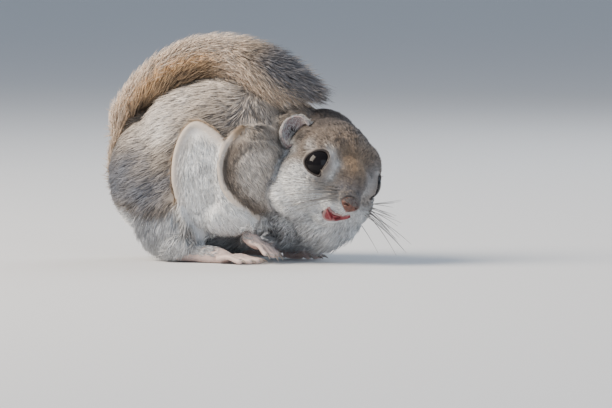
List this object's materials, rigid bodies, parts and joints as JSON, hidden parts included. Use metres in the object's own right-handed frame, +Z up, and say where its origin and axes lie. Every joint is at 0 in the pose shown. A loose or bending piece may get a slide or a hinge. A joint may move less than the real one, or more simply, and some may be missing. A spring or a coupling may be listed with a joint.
{
  "type": "flying squirrel",
  "caption": "Crouching small gliding rodent with a bushy flat tail laid over its back, folded flank membrane, large dark eyes and cupped ears.",
  "frame": {"origin": "on the floor under the middle of the model's bounding box", "axes": "+X from rump to nose, +Y to the animal's left, +Z up"},
  "size_m": [0.105, 0.0614, 0.0783],
  "materials": {
    "fur_back": "soft brown-grey fur with pale tips",
    "fur_belly": "soft white fur",
    "fur_tail": "bushy fur, buff below and grey-brown above",
    "foot_skin": "pinkish skin under thin short hair",
    "ear_skin": "thin skin with fine down",
    "eye": "wet gloss",
    "nose": "moist fine-grained skin",
    "mouth": "wet"
  },
  "bodies": {
    "root": {"head": "fur_back", "neck": "fur_belly", "torso": "fur_back", "rump": "fur_back", "thigh_l": "fur_back", "thigh_r": "fur_back", "foreleg_l": "fur_back", "foreleg_r": "fur_back", "membrane_front_l": "fur_back", "membrane_front_r": "fur_back", "membrane_rear_l": "fur_belly", "membrane_rear_r": "fur_belly", "tail_1": "fur_tail", "tail_2": "fur_tail", "tail_3": "fur_tail", "tail_4": "fur_tail", "foot_l": "foot_skin", "foot_r": "foot_skin", "hand_l": "foot_skin", "hand_r": "foot_skin", "ear_l": "ear_skin", "ear_r": "ear_skin", "eye_l": "eye", "eye_r": "eye", "nose": "nose", "tongue": "mouth"}
  },
  "joints": []
}
